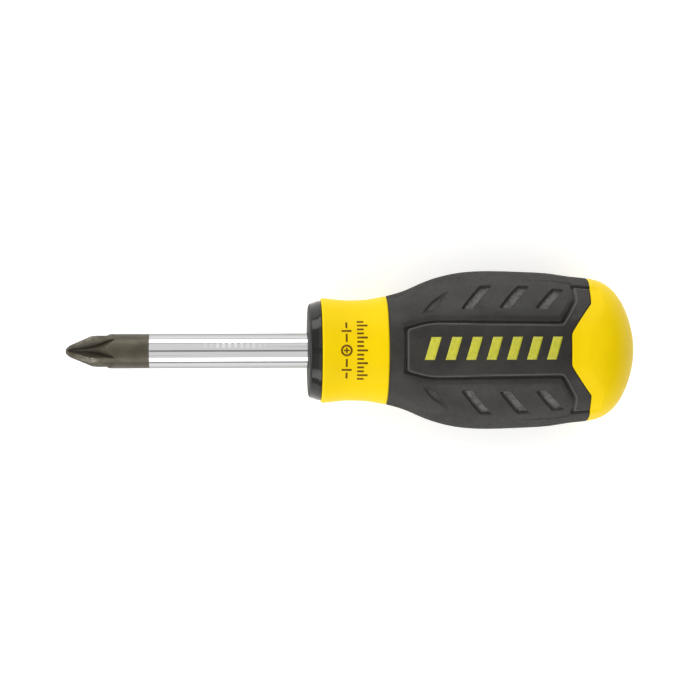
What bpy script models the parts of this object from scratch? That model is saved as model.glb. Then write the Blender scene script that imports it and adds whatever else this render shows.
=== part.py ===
"""A stubby cross-point screwdriver with a handle moulded in three shots.

The tool lies level, with its axis along world X. The point's flat end is at the origin and the handle
lies toward +X, one label panel faces up and the other down. The four solids nest round the blade:

    blade         one steel bar with a ground point and two swaged ears at its buried end
    handle_core   hard black plastic, moulded round the bar, with the ring at the nose
    handle_shell  hard yellow plastic, with the collar, the buried waist and the butt dome
    soft_grip     soft black rubber sleeve with raised pads, pockets and two sunk panels

Touching pieces keep GAP between them. A roll angle is counted about X from +Z toward +Y.
"""

import math

import bmesh
import bpy
from mathutils import Vector

MM = 0.001
GAP = 0.3 * MM

# The bar and its point
SHANK_RADIUS = 3.175 * MM
BLADE_END = 84.5 * MM
BLADE_END_CHAMFER = 0.6 * MM
NOSE_FLAT_RADIUS = 0.4 * MM
NOSE_LENGTH = 0.6 * MM
NOSE_RADIUS = 1.05 * MM
FLANK_END = 4.9 * MM
WING_THICKNESS = 1.0 * MM
FLUTE_ROLL = 11.0
FLUTE_END = 9.2 * MM
FLUTE_ROOT_RADIUS = 0.8 * MM
EAR_START = 69.0 * MM
EAR_LENGTH = 7.0 * MM
EAR_SPAN = 9.4 * MM
EAR_THICKNESS = 1.8 * MM
EAR_BEVEL = 0.5 * MM

# The black core, with the nose ring
RING_FRONT = 44.4 * MM
RING_REAR = 46.6 * MM
RING_FACE_RADIUS = 7.95 * MM
RING_RADIUS = 9.2 * MM
RING_ROUNDING = 1.7 * MM
CORE_RADIUS = 6.3 * MM
CORE_END = 88.0 * MM
CORE_CHAMFER = 2.2 * MM
KEY_START = 49.0 * MM
KEY_END = 84.0 * MM
KEY_RADIUS = 7.5 * MM
KEY_THICKNESS = 2.2 * MM
KEY_ROLLS = (45.0, 135.0)

# The yellow shell
COLLAR_FRONT = RING_REAR + GAP
COLLAR_END = 58.6 * MM
COLLAR_LIP = 0.25 * MM
BUTT_END = 104.7 * MM
BUTT_SPHERE_RADIUS = 17.0 * MM
BUTT_CORNER_RADIUS = 5.0 * MM
BUTT_CORNER_START = 96.6 * MM
BUTT_SIDE_TURN = 84.0
DOME_OVERLAP = 5.0 * MM
WAIST_RIB_PLACES = (70.0 * MM, 78.0 * MM, 86.0 * MM)
WAIST_RIB_LENGTH = 2.4 * MM
WAIST_RIB_HEIGHT = 0.6 * MM

# The rubber grip
GRIP_START = COLLAR_END + GAP
PANEL_DEPTH = 0.6 * MM
PANEL_START = 61.35 * MM
PANEL_START_HALF = 4.6 * MM
PANEL_SHOULDER = 66.0 * MM
PANEL_HALF = 6.0 * MM
PAD_END_INNER = 89.6 * MM
PAD_END_OUTER = 91.9 * MM
PAD_END_HALF = 9.3 * MM
TAIL_HALF = 11.8 * MM
TONGUE_FRONT = 91.3 * MM
TONGUE_HALF = 2.9 * MM
TONGUE_ROOT = 95.1 * MM
TONGUE_ROOT_HALF = 8.5 * MM
GRIP_END = 95.6 * MM

# The pockets in each pad
POCKET_COUNT = 4
POCKET_FIRST = 67.5 * MM
POCKET_PITCH = 6.9 * MM
POCKET_WIDTH = 2.0 * MM
POCKET_HALF_SPAN = 2.8 * MM
POCKET_SLANT = 1.5 * MM
POCKET_DEPTH = 0.75 * MM
POCKET_ROLL = 42.0

BLADE_SEGMENTS = 32
HANDLE_SEGMENTS = 48
REACH = 20.0 * MM

# Outlines as (distance from the point, radius), joined by a smooth curve
COLLAR_KEYS = ((47.3, 9.62), (49.5, 9.36), (52.0, 9.27), (55.2, 9.36), (58.6, 9.98))
GRIP_KEYS = ((58.9, 10.05), (62.2, 11.05), (66.4, 12.85), (71.0, 14.06), (75.8, 14.6),
             (82.0, 14.44), (88.0, 14.18), (92.0, 13.62), (96.6, 13.05))
WAIST_KEYS = ((59.2, 8.5), (62.0, 9.0), (66.0, 10.5), (70.0, 11.5), (76.0, 11.9),
              (86.0, 11.7), (96.6, 10.8))


def roll_direction(roll):
    """Unit vector square to the tool's axis at a roll angle in degrees."""
    angle = math.radians(roll)
    return Vector((0.0, math.sin(angle), math.cos(angle)))


def smooth_outline(keys, steps):
    """Carry a Catmull-Rom curve through outline keys given in millimetres."""
    points = [Vector(key) * MM for key in keys]
    points = [points[0] * 2 - points[1], *points, points[-1] * 2 - points[-2]]
    outline = []
    for before, start, end, after in zip(points, points[1:], points[2:], points[3:]):
        slope = end - before
        bend = before * 2 - start * 5 + end * 4 - after
        twist = start * 3 - before - end * 3 + after
        for step in range(steps):
            t = step / steps
            outline.append(start + (slope * t + bend * t**2 + twist * t**3) / 2)
    outline.append(points[-2])
    return [tuple(point) for point in outline]


def outline_radius(outline, place):
    """Radius of an outline at a distance from the point."""
    for (x0, r0), (x1, r1) in zip(outline, outline[1:]):
        if x0 <= place <= x1:
            return r0 + (r1 - r0) * (place - x0) / (x1 - x0)
    raise ValueError("the outline does not reach that place")


def object_from(name, work):
    """Turn a bmesh into a named object with smooth shading and sharp corners."""
    bmesh.ops.recalc_face_normals(work, faces=work.faces)
    mesh = bpy.data.meshes.new(name)
    work.to_mesh(mesh)
    work.free()
    mesh.shade_smooth()
    mesh.set_sharp_from_angle(angle=math.radians(30))
    piece = bpy.data.objects.new(name, mesh)
    bpy.context.scene.collection.objects.link(piece)
    return piece


def turned(name, outline, segments):
    """Spin an outline of (x, radius) points once round the X axis."""
    work = bmesh.new()
    verts = [work.verts.new((x, 0.0, r)) for x, r in outline]
    edges = [work.edges.new(pair) for pair in zip(verts, verts[1:])]
    bmesh.ops.spin(work, geom=verts + edges, axis=(1, 0, 0), cent=(0, 0, 0),
                   angle=math.tau, steps=segments, use_duplicate=False)
    bmesh.ops.remove_doubles(work, verts=work.verts, dist=1e-6)
    bmesh.ops.dissolve_degenerate(work, edges=work.edges, dist=1e-7)
    return object_from(name, work)


def prisms(name, outlines, depth):
    """Extrude each closed outline of 3-D points by the depth vector, all in one object."""
    work = bmesh.new()
    for outline in outlines:
        face = work.faces.new([work.verts.new(point) for point in outline])
        swept = bmesh.ops.extrude_face_region(work, geom=[face], use_keep_orig=True)
        moved = [item for item in swept["geom"] if isinstance(item, bmesh.types.BMVert)]
        bmesh.ops.translate(work, verts=moved, vec=depth)
    return object_from(name, work)


def box(name, low, high, bevel=0.0):
    """Make a box between two corners, with its edges bevelled if asked."""
    across = [(low[0], low[1]), (high[0], low[1]), (high[0], high[1]), (low[0], high[1])]
    outline = [Vector((x, y, low[2])) for x, y in across]
    piece = prisms(name, [outline], Vector((0, 0, high[2] - low[2])))
    if bevel:
        rounding = piece.modifiers.new("edges", "BEVEL")
        rounding.width = bevel
        rounding.segments = 2
    return piece


def boolean(piece, tool, operation):
    """Add a live Boolean to a piece and put its tool out of sight."""
    step = piece.modifiers.new(tool.name, "BOOLEAN")
    step.operation = operation
    step.object = tool
    tool.hide_render = True
    tool.display_type = "WIRE"
    return piece


def finish(piece, colour, roughness, metallic):
    """Give a piece its own material."""
    material = bpy.data.materials.new(piece.name)
    material.use_nodes = True
    shader = material.node_tree.nodes["Principled BSDF"]
    shader.inputs["Base Color"].default_value = (*colour, 1.0)
    shader.inputs["Roughness"].default_value = roughness
    shader.inputs["Metallic"].default_value = metallic
    piece.data.materials.append(material)
    return piece


def flute_tools():
    """Make the four quarter-round spaces that a wheel grinds between the point's wings.

    Each is a square corner prism whose two walls are the faces of neighbouring wings. The root that
    stays under them grows as the square of the distance, so the flutes run out on the bar's surface.
    """
    half = WING_THICKNESS / 2
    start = Vector((-REACH, 0, 0))
    outlines = []
    for quarter in range(4):
        across = roll_direction(FLUTE_ROLL - 45 + 90 * quarter)
        along = roll_direction(FLUTE_ROLL + 45 + 90 * quarter)
        near = across * half + along * half
        outlines.append([start + near, start + near + across * REACH,
                         start + near + across * REACH + along * REACH, start + near + along * REACH])
    wedges = prisms("flute_wedges", outlines, Vector((REACH + FLUTE_END + MM, 0, 0)))
    growth = (SHANK_RADIUS - FLUTE_ROOT_RADIUS) / FLUTE_END**2
    places = [FLUTE_END * step / 8 for step in range(10)]
    root = [(-2 * REACH, 0.0), (-2 * REACH, FLUTE_ROOT_RADIUS)]
    root += [(x, FLUTE_ROOT_RADIUS + growth * x**2) for x in places]
    root += [(places[-1] + MM, 2 * SHANK_RADIUS), (places[-1] + MM, 0.0)]
    return boolean(wedges, turned("flute_root", root, BLADE_SEGMENTS), "DIFFERENCE")


def bar_outline():
    """Outline of the bar, from the flat end of its nose to its buried end."""
    return [(0.0, 0.0), (0.0, NOSE_FLAT_RADIUS), (NOSE_LENGTH, NOSE_RADIUS), (FLANK_END, SHANK_RADIUS),
            (BLADE_END - BLADE_END_CHAMFER, SHANK_RADIUS), (BLADE_END, SHANK_RADIUS - BLADE_END_CHAMFER),
            (BLADE_END, 0.0)]


def ears(name, growth, bevel):
    """Make the flat ears swaged out of the bar, grown all round by a clearance."""
    low = (EAR_START - growth, -EAR_SPAN / 2 - growth, -EAR_THICKNESS / 2 - growth)
    high = (EAR_START + EAR_LENGTH + growth, EAR_SPAN / 2 + growth, EAR_THICKNESS / 2 + growth)
    return box(name, low, high, bevel)


def make_blade():
    """One steel bar: flutes cut in front, ears raised at the buried end."""
    blade = turned("blade", bar_outline(), BLADE_SEGMENTS)
    boolean(blade, flute_tools(), "DIFFERENCE")
    boolean(blade, ears("blade_ears", 0.0, EAR_BEVEL), "UNION")
    return finish(blade, (0.62, 0.62, 0.64), 0.12, 1.0)


def core_plug(name, growth):
    """Make the part of the core that is buried in the shell, with its keys, grown by a clearance."""
    front = RING_REAR - MM
    radius = CORE_RADIUS + growth
    rear = CORE_END + growth
    outline = [(front, 0.0), (front, radius), (rear - CORE_CHAMFER, radius),
               (rear, radius - CORE_CHAMFER), (rear, 0.0)]
    plug = turned(name, outline, HANDLE_SEGMENTS)
    for number, roll in enumerate(KEY_ROLLS):
        across = roll_direction(roll)
        along = roll_direction(roll + 90)
        half = KEY_THICKNESS / 2 + growth
        reach = KEY_RADIUS + growth
        corners = [(half, reach), (-half, reach), (-half, -reach), (half, -reach)]
        start = Vector((KEY_START - growth, 0, 0))
        shape = [start + along * side + across * out for side, out in corners]
        length = Vector((KEY_END - KEY_START + 2 * growth, 0, 0))
        boolean(plug, prisms(f"{name}_key_{number}", [shape], length), "UNION")
    return plug


def make_core():
    """Black core: the nose ring and the keyed plug in one, bored for the bar and its ears."""
    core = core_plug("handle_core", 0.0)
    ring = [(RING_FRONT, 0.0)]
    for step in range(6):
        turn = math.radians(90 * step / 5)
        ring.append((RING_FRONT + RING_ROUNDING * (1 - math.cos(turn)),
                     RING_FACE_RADIUS + (RING_RADIUS - RING_FACE_RADIUS) * math.sin(turn)))
    ring += [(RING_REAR, RING_RADIUS), (RING_REAR, 0.0)]
    boolean(core, turned("nose_ring", ring, HANDLE_SEGMENTS), "UNION")
    bore = [(RING_FRONT - REACH, 0.0), (RING_FRONT - REACH, SHANK_RADIUS + GAP),
            (BLADE_END + GAP, SHANK_RADIUS + GAP), (BLADE_END + GAP, 0.0)]
    boolean(core, turned("bar_bore", bore, BLADE_SEGMENTS), "DIFFERENCE")
    boolean(core, ears("ear_slots", GAP, 0.0), "DIFFERENCE")
    return finish(core, (0.012, 0.012, 0.013), 0.18, 0.0)


def butt_outline():
    """Outline of the butt: a corner round that runs into a shallow dome on the axis."""
    corner_centre = Vector((BUTT_CORNER_START, GRIP_KEYS[-1][1] * MM - BUTT_CORNER_RADIUS))
    dome_centre = Vector((BUTT_END - BUTT_SPHERE_RADIUS, 0.0))
    meet = math.atan2(corner_centre.y, corner_centre.x - dome_centre.x)
    outline = []
    side = math.radians(BUTT_SIDE_TURN)
    for step in range(5):
        turn = side + (meet - side) * step / 4
        point = corner_centre + Vector((math.cos(turn), math.sin(turn))) * BUTT_CORNER_RADIUS
        outline.append((point.x, point.y))
    for step in range(5, 0, -1):
        turn = meet * step / 6
        point = dome_centre + Vector((math.cos(turn), math.sin(turn))) * BUTT_SPHERE_RADIUS
        outline.append((point.x, point.y))
    return outline + [(BUTT_END, 0.0)]


def handle_outline():
    """Outline of the handle's outside behind the collar, over the raised pads and the dome."""
    return smooth_outline(GRIP_KEYS, 2)[:-1] + butt_outline()


def waist_outline(growth):
    """Outline of the buried waist with its ring ribs, which the rubber locks round."""
    smooth = smooth_outline(WAIST_KEYS, 1)
    outline = [(x, r + growth) for x, r in smooth]
    for place in WAIST_RIB_PLACES:
        base = outline_radius(smooth, place) + growth
        top = base + WAIST_RIB_HEIGHT
        half = WAIST_RIB_LENGTH / 2 + growth
        ramp = WAIST_RIB_HEIGHT
        outline = [point for point in outline if abs(point[0] - place) > half + ramp]
        outline += [(place - half - ramp, base), (place - half, top)]
        outline += [(place + half, top), (place + half + ramp, base)]
    return sorted(outline)


def rear_of_grip(name, setback):
    """Make the space behind the rubber's rear edge, where the yellow tongues reach forward.

    The outline lies level and is extruded right through the handle along Z, so that one shape cuts both
    tongues. The setback moves its front edge toward the butt.
    """
    half = [(TONGUE_FRONT, TONGUE_HALF), (TONGUE_ROOT, TONGUE_ROOT_HALF), (GRIP_END, REACH)]
    front = [Vector((x + setback, -y, -REACH)) for x, y in reversed(half)]
    front += [Vector((x + setback, y, -REACH)) for x, y in half]
    rear = BUTT_END + REACH
    outline = front + [Vector((rear, REACH, -REACH)), Vector((rear, -REACH, -REACH))]
    return prisms(name, [outline], Vector((0, 0, 2 * REACH)))


def make_shell():
    """Yellow shell: the collar, the waist under the rubber, and the butt dome with its tongues."""
    collar = smooth_outline(COLLAR_KEYS, 2)
    waist = waist_outline(0.0)
    outline = [(COLLAR_FRONT, 0.0), (COLLAR_FRONT, collar[0][1] - COLLAR_LIP)] + collar
    outline += [(COLLAR_END, waist[0][1])] + waist
    outline += [(waist[-1][0], 0.0)]
    shell = turned("handle_shell", outline, HANDLE_SEGMENTS)
    butt = handle_outline()
    start = TONGUE_FRONT - DOME_OVERLAP
    rim = [(start, 0.0), (start, outline_radius(butt, start))]
    butt = rim + [point for point in butt if point[0] > start]
    dome = turned("butt_dome", butt, HANDLE_SEGMENTS)
    boolean(dome, rear_of_grip("dome_limit", GAP), "INTERSECT")
    boolean(shell, dome, "UNION")
    boolean(shell, core_plug("core_space", GAP), "DIFFERENCE")
    return finish(shell, (0.87, 0.60, 0.02), 0.32, 0.0)


def panel_tool():
    """Make the material that stands over the two sunk panels and the tail band behind the pads."""
    half = [(PANEL_START, PANEL_START_HALF), (PANEL_SHOULDER, PANEL_HALF), (PAD_END_INNER, PANEL_HALF),
            (PAD_END_OUTER, PAD_END_HALF), (PAD_END_OUTER, TAIL_HALF), (BUTT_END, TAIL_HALF)]
    outline = [Vector((x, y, -REACH)) for x, y in half]
    outline += [Vector((x, -y, -REACH)) for x, y in reversed(half)]
    over = prisms("panel_outline", [outline], Vector((0, 0, 2 * REACH)))
    level = [(x, r - PANEL_DEPTH) for x, r in smooth_outline(GRIP_KEYS, 2)]
    level = [(level[0][0], 0.0)] + level + [(BUTT_END, level[-1][1]), (BUTT_END, 0.0)]
    return boolean(over, turned("panel_level", level, HANDLE_SEGMENTS), "DIFFERENCE")


def pocket_tool(name, middle, side, face):
    """Make one slanted pocket: a parallelogram prism sunk square to the middle of its pad.

    Its floor is a flat, POCKET_DEPTH under the pad at its middle. The end further from the label panel
    lies further toward the butt. Side and face, each 1 or -1, choose the pad.
    """
    middle_roll = roll_direction(POCKET_ROLL)
    outward = Vector((0, middle_roll.y * side, middle_roll.z * face))
    around = Vector((0, middle_roll.z * side, -middle_roll.y * face))
    floor = outline_radius(handle_outline(), middle) - POCKET_DEPTH
    centre = Vector((middle, 0, 0)) + outward * floor
    shape = []
    for along, end in ((-1, -1), (1, -1), (1, 1), (-1, 1)):
        slide = along * POCKET_WIDTH / 2 + end * POCKET_SLANT
        shape.append(centre + Vector((slide, 0, 0)) + around * end * POCKET_HALF_SPAN)
    return prisms(name, [shape], outward * REACH)


def pocket_tools():
    """Make the pockets of all four pads."""
    tools = []
    for side, face in ((1, 1), (1, -1), (-1, 1), (-1, -1)):
        for number in range(POCKET_COUNT):
            middle = POCKET_FIRST + POCKET_PITCH * number
            tools.append(pocket_tool(f"pocket_{len(tools)}", middle, side, face))
    return tools


def make_grip():
    """Rubber sleeve: the smooth barrel, less its panels, its pockets, its inside and its rear."""
    outside = [(GRIP_START, 0.0)] + smooth_outline(GRIP_KEYS, 2)
    grip = turned("soft_grip", outside + [(outside[-1][0], 0.0)], HANDLE_SEGMENTS)
    boolean(grip, panel_tool(), "DIFFERENCE")
    for pocket in pocket_tools():
        boolean(grip, pocket, "DIFFERENCE")
    boolean(grip, rear_of_grip("grip_limit", 0.0), "DIFFERENCE")
    waist = waist_outline(GAP)
    inside = [(GRIP_START - MM, 0.0), (GRIP_START - MM, waist[0][1])] + waist + [(waist[-1][0], 0.0)]
    boolean(grip, turned("waist_space", inside, HANDLE_SEGMENTS), "DIFFERENCE")
    return finish(grip, (0.035, 0.034, 0.032), 0.62, 0.0)


for leftover in list(bpy.data.objects):
    bpy.data.objects.remove(leftover, do_unlink=True)

make_blade()
make_core()
make_shell()
make_grip()
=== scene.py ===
# %% [markdown]
# # A stubby cross-point screwdriver
#
# The tool is one steel bar in a handle that is moulded round it in three shots: a glossy black core,
# a hard yellow shell, and a soft black rubber grip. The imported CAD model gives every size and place.
# This lesson lays a fine surface over each CAD solid, and gives each finish its own procedural material.

# %% Load the frame
import math

import bpy
import numpy as np
from mathutils import Matrix, Vector


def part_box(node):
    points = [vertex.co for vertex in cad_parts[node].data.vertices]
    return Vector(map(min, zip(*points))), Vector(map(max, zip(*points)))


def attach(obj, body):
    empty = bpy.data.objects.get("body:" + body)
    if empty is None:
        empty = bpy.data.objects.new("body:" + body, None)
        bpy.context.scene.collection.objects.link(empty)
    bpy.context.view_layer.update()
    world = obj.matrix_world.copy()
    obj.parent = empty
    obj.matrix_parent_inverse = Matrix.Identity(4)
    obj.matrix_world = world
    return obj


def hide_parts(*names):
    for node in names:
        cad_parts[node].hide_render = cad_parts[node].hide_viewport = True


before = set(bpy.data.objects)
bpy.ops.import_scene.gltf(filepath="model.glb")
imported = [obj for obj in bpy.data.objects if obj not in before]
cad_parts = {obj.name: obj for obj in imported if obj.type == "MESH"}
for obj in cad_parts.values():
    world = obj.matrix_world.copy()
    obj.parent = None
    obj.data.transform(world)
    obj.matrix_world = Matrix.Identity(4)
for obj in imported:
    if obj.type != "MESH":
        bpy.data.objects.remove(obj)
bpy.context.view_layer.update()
print("nodes:", sorted(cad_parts))

# %% [markdown]
# ## Where everything is
#
# The tool's axis is X, the point's end is at X = 0, and the label panel faces up, toward +Z. It is
# easiest to think in millimetres: a *station* is a distance along the axis from the point's end, and a
# *roll* is an angle round the axis, in degrees, from straight up toward +Y. The main stations are read
# from the CAD solids' boxes. The finished surfaces close the small gaps that the CAD keeps between
# touching solids, so each seam lies in the middle of its gap.

# %% Stations and radii from the CAD solids
MM = 0.001


def millimetres(node):
    """Lowest and highest corner of a CAD node, in millimetres."""
    low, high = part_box(node)
    return np.array(low) / MM, np.array(high) / MM


blade_high = millimetres("blade")[1]
core_low, core_high = millimetres("handle_core")
shell_low, shell_high = millimetres("handle_shell")
grip_low, grip_high = millimetres("soft_grip")

SHANK_RADIUS = blade_high[2]
BLADE_END = blade_high[0]
RING_FRONT = core_low[0]
CORE_END = core_high[0]
BUTT_END = shell_high[0]
GRIP_RADIUS = grip_high[1]
GAP = 0.3
RING_SEAM = shell_low[0] - GAP / 2
GRIP_SEAM = grip_low[0] - GAP / 2
BLACKED_END = 15.3
print(f"ring {RING_FRONT:.1f}, collar {RING_SEAM:.2f}, grip {GRIP_SEAM:.2f}, butt {BUTT_END:.1f} mm")

# %% [markdown]
# ## Small tools for shapes
#
# Every surface here is a radius that depends on the station and the roll. Outlines are natural cubic
# splines through a few points, which is how a draughtsman's bent strip would lie. Where two shapes meet,
# a smooth minimum or maximum rounds the corner by a chosen amount, as a real mould or a ground edge does.

# %% Curves and blends


def smooth(low, high, value):
    """Go from 0 at low to 1 at high along a soft S: three squares less two cubes."""
    part = np.clip((value - low) / (high - low), 0.0, 1.0)
    return part * part * (3.0 - 2.0 * part)


def soft_min(first, second, width):
    """The smaller of two values, with the corner rounded off over a width."""
    part = np.clip(0.5 + 0.5 * (second - first) / width, 0.0, 1.0)
    return second * (1.0 - part) + first * part - width * part * (1.0 - part)


def soft_max(first, second, width):
    """The larger of two values, with the corner rounded off over a width."""
    return -soft_min(-first, -second, width)


def soft_ramp(value, width):
    """Zero below nought and the value above it, with the corner rounded over a width."""
    return width * np.logaddexp(0.0, value / width)


def spline(place, value, where):
    """Natural cubic spline through values at places, read off elsewhere.

    The bends at the keys solve one small linear system, in which each key's bend balances the change of
    slope between its two spans.
    """
    span = np.diff(place)
    last = len(place) - 1
    inner = np.arange(1, last)
    system = np.eye(last + 1)
    system[inner, inner - 1] = span[:-1]
    system[inner, inner] = 2.0 * (span[:-1] + span[1:])
    system[inner, inner + 1] = span[1:]
    jumps = np.zeros(last + 1)
    jumps[1:-1] = 6.0 * np.diff(np.diff(value) / span)
    bend = np.linalg.solve(system, jumps)
    part = np.clip(np.searchsorted(place, where) - 1, 0, last - 1)
    width = span[part]
    back = (place[part + 1] - where) / width
    ahead = (where - place[part]) / width
    curve = (back**3 - back) * bend[part] + (ahead**3 - ahead) * bend[part + 1]
    return back * value[part] + ahead * value[part + 1] + curve * width**2 / 6.0


def outline(keys):
    """Return a smooth radius through (station, radius) keys, as a function of station."""
    place, radius = np.array(keys, float).T
    return lambda station: spline(place, radius, station)


def curve_through(keys, count):
    """Points along a smooth curve through (station, radius) keys, spaced by the chords between them."""
    keys = np.array(keys, float)
    chord = np.append(0.0, np.cumsum(np.hypot(*np.diff(keys, axis=0).T)))
    where = np.linspace(0.0, chord[-1], count)
    return np.stack([spline(chord, keys[:, 0], where), spline(chord, keys[:, 1], where)], axis=-1)


def graded(*stretches):
    """Join evenly spaced stretches, each (start, end, count), into one row of values."""
    rows = [np.linspace(start, end, count, endpoint=False) for start, end, count in stretches]
    return np.append(np.concatenate(rows), stretches[-1][1])


# %% [markdown]
# A skin is a stack of rings. Each ring has the same number of points round the axis, so neighbouring
# rings join in four-sided faces, and the last point of a ring joins its first: there is no seam. A stack
# that starts and ends on the axis is closed by a fan of triangles at each pole, and one that goes through
# the handle, as a sleeve does, is closed by joining its last ring to its first.

# %% Rings to meshes


def ring_points(station, radius, roll):
    """Points in metres at a station, radius and roll, for arrays that broadcast together."""
    turn = np.radians(roll)
    station, radius, turn = np.broadcast_arrays(station, radius, turn)
    return np.stack([station, radius * np.sin(turn), radius * np.cos(turn)], axis=-1) * MM


def mesh_from(name, points, faces):
    """Make an object from an array of points and a list of arrays of faces, each of one size."""
    loops = np.concatenate([part.ravel() for part in faces])
    sizes = np.concatenate([np.full(len(part), part.shape[1]) for part in faces])
    starts = np.concatenate([[0], np.cumsum(sizes)[:-1]])
    mesh = bpy.data.meshes.new(name)
    mesh.vertices.add(len(points))
    mesh.vertices.foreach_set("co", points.ravel().astype(np.float32))
    mesh.loops.add(len(loops))
    mesh.loops.foreach_set("vertex_index", loops.astype(np.int32))
    mesh.polygons.add(len(sizes))
    mesh.polygons.foreach_set("loop_start", starts.astype(np.int32))
    mesh.update(calc_edges=True)
    mesh.validate()
    mesh.shade_smooth()
    piece = bpy.data.objects.new(name, mesh)
    bpy.context.scene.collection.objects.link(piece)
    print(f"{name}: {len(points)} points, {int((sizes - 2).sum())} triangles")
    return piece


def skin(name, rings, sleeve=False):
    """Join rings of points, shaped (rings, steps, 3), into one closed surface that faces outwards."""
    count, steps = rings.shape[:2]
    index = np.arange(count * steps).reshape(count, steps)
    front = index if sleeve else index[:-1]
    rear = np.roll(index, -1, axis=0) if sleeve else index[1:]
    quads = np.stack([front, rear, np.roll(rear, -1, axis=1), np.roll(front, -1, axis=1)], axis=-1)
    faces = [quads.reshape(-1, 4)]
    points = rings.reshape(-1, 3)
    if not sleeve:
        poles = np.stack([rings[0].mean(axis=0), rings[-1].mean(axis=0)])
        start, end = index[0], index[-1]
        first = np.full(steps, len(points))
        faces.append(np.stack([first, start, np.roll(start, -1)], axis=-1))
        faces.append(np.stack([first + 1, np.roll(end, -1), end], axis=-1))
        points = np.concatenate([points, poles])
    return mesh_from(name, points, faces)


def keep_value(piece, name, values):
    """Store one number for each point of a piece, for its material to read."""
    layer = piece.data.attributes.new(name, "FLOAT", "POINT")
    whole = np.zeros(len(piece.data.vertices), np.float32)
    whole[: values.size] = values.ravel()
    layer.data.foreach_set("value", whole)


# %% [markdown]
# ## The point
#
# A number 2 type Z cross point is ground from the round bar. Four flutes leave four wings with flat
# sides. This type also has a small rib between each two wings, which is here a low ridge down the middle
# of the flute's floor. The flutes get shallower away from the end and run out on the bar's surface,
# furthest beside the wings. It could be cut with Booleans, but then every edge
# is razor sharp. Here the radius is worked out instead: the larger of the flute's floor and the wing's
# side, but never more than the bar's own outline.

# %% The point's surface
POINT_STEPS = 432
# A ring this close to a sharp end stops the smooth shading of the side from bending round the corner.
EDGE = 0.03
NOSE_LENGTH = 0.6
NOSE_FLAT = 0.4
NOSE_RADIUS = 1.05
FLANK_END = 4.9
FLUTE_ROLL = 11.0
FLUTE_ROOT = 0.62
FLUTE_END = 9.1
CHANNEL_ROLL = 31.5
RIDGE_HEIGHT = 0.65
RIDGE_END = 7.8
WING_HALF = 0.4
WING_TAPER = 0.018


def point_outline(station):
    """Radius of the uncut point: the nose's cone, then the flank's cone, then the bar."""
    nose = NOSE_FLAT + (NOSE_RADIUS - NOSE_FLAT) * station / NOSE_LENGTH
    flank = NOSE_RADIUS + (SHANK_RADIUS - NOSE_RADIUS) * (station - NOSE_LENGTH) / (FLANK_END - NOSE_LENGTH)
    return soft_min(soft_min(nose, flank, 0.12), SHANK_RADIUS, 0.12)


def flute_parts(station, roll):
    """Radius of a flute's floor and of the wing's side. Off is the roll from the nearest flute's middle."""
    off = np.abs((roll - FLUTE_ROLL + 45.0) % 90.0 - 45.0)
    growth = (SHANK_RADIUS - FLUTE_ROOT) / FLUTE_END**2
    floor = FLUTE_ROOT + growth * station**2
    ridge = RIDGE_HEIGHT * station / RIDGE_END
    floor = floor + ridge * (1.0 - soft_max(off, 1.5, 2.0) / CHANNEL_ROLL)
    wing = (WING_HALF + WING_TAPER * station) / np.sin(np.radians(np.maximum(45.0 - off, 0.5)))
    return floor, wing


def point_radius(station, roll):
    """Radius of the ground point: the higher of floor and wing, but never outside the uncut outline."""
    floor, wing = flute_parts(station, roll)
    return soft_min(point_outline(station), soft_max(floor, wing, 0.25), 0.07)


stations = graded((0.0, 1.2, 16), (1.2, 10.0, 120), (10.0, BLACKED_END - EDGE, 12),
                  (BLACKED_END - EDGE, BLACKED_END, 1))[:, None]
rolls = np.arange(POINT_STEPS)[None, :] * 360.0 / POINT_STEPS
radii = point_radius(stations, rolls)
blade_point = skin("blade_point", ring_points(stations, radii, rolls))
cut_away = point_outline(stations) - radii
# This value marks worn bright metal along the wing crests near the flank, and that bright metal also stands
# in as a painted highlight there.
just_cut = np.exp(-(((cut_away - 0.035) / 0.03) ** 2))
worn_crest_highlight = just_cut * smooth(1.4, 3.4, stations) * (1.0 - smooth(5.0, 6.4, stations))
keep_value(blade_point, "worn_crest_highlight", worn_crest_highlight)
# The flute value is painted shade: the flute darkens where its floor meets the wing's side and where the cut
# is deep.
floor, wing = flute_parts(stations, rolls)
flute_shade = np.exp(-(((floor - wing) / 0.34) ** 2)) * smooth(0.03, 0.3, cut_away)
keep_value(blade_point, "flute", np.maximum(flute_shade, 0.45 * smooth(0.3, 1.3, cut_away)))
print(f"flutes up to {cut_away.max():.1f} mm deep")

# %% [markdown]
# ## The shank
#
# Behind the blackened point the bar is bright chrome. It runs on inside the handle, where two flat ears
# are swaged out of it so that it can't turn or pull out. Nobody sees the ears, but the part has them.

# %% The shank's surface
SHANK_STEPS = 192
EAR_FRONT, EAR_REAR = 69.0, 76.0
EAR_HALF_SPAN = blade_high[1]
EAR_HALF_THICKNESS = 0.9
END_CHAMFER = 0.6


def ear_radius(roll):
    """Radius of a flat bar's cross-section, thin up and down and wide across."""
    turn = np.radians(roll)
    flat = EAR_HALF_THICKNESS / np.maximum(np.abs(np.cos(turn)), 1e-3)
    wide = EAR_HALF_SPAN / np.maximum(np.abs(np.sin(turn)), 1e-3)
    return np.minimum(flat, wide)


stations = np.concatenate([
    [BLACKED_END, BLACKED_END + EDGE], np.linspace(BLACKED_END + 0.5, EAR_FRONT - 1.0, 40), [EAR_FRONT],
    [EAR_FRONT + 0.02, EAR_REAR - 0.02, EAR_REAR, BLADE_END - END_CHAMFER, BLADE_END]])[:, None]
rolls = np.arange(SHANK_STEPS)[None, :] * 360.0 / SHANK_STEPS
radii = np.where((stations > EAR_FRONT) & (stations < EAR_REAR),
                 np.maximum(SHANK_RADIUS, ear_radius(rolls)), SHANK_RADIUS)
radii = np.where(stations > BLADE_END - END_CHAMFER, SHANK_RADIUS - END_CHAMFER, radii)
blade_shank = skin("blade_shank", ring_points(stations, radii, rolls))

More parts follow.
